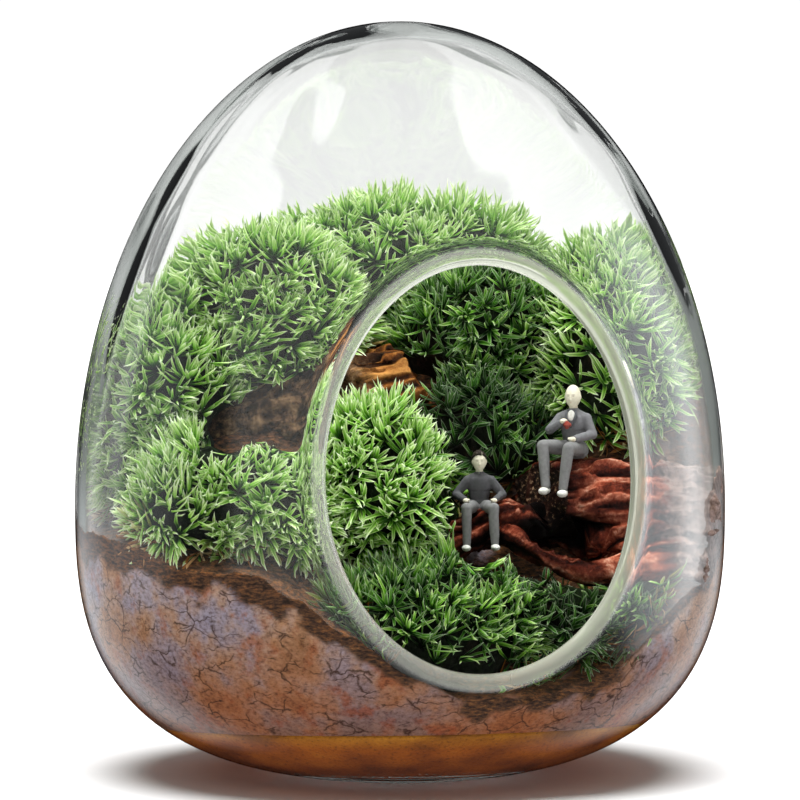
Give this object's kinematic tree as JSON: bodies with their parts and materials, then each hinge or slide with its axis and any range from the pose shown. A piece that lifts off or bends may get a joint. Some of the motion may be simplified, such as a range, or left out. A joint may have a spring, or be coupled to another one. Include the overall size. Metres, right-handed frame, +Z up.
{
  "type": "planted glass terrarium",
  "caption": "Egg-shaped glass jar with an oval side mouth, planted inside with moss cushions on banked soil, driftwood and small seated figurines.",
  "frame": {"origin": "centre of the jar's flat foot, on the surface it stands on", "axes": "+Z up the jar's axis, -Y out of the oval mouth, +X to the right when facing the mouth"},
  "size_m": [0.2, 0.1934, 0.231],
  "materials": {
    "clear_glass": "fire-polished clear",
    "ochre_sand": "fine loose grains",
    "potting_soil": "crumbly, dry",
    "bark": "rough, weathered",
    "driftwood": "streaky, weathered",
    "painted_resin": "matte paint",
    "moss": "soft living leaves"
  },
  "bodies": {
    "root": {"glass_jar": "clear_glass", "sand_bed": "ochre_sand", "soil_bank": "potting_soil", "bark_slab": "bark", "driftwood_log": "driftwood", "figurine_left": "painted_resin", "figurine_right": "painted_resin", "moss_back_top": "moss", "moss_upper_left": "moss", "moss_left": "moss", "moss_lower_left": "moss", "moss_centre": "moss", "moss_middle": "moss", "moss_front": "moss", "moss_upper_right": "moss", "moss_right": "moss", "moss_under_log": "moss", "moss_front_right": "moss", "moss_back_left": "moss", "moss_back_right": "moss"}
  },
  "joints": []
}
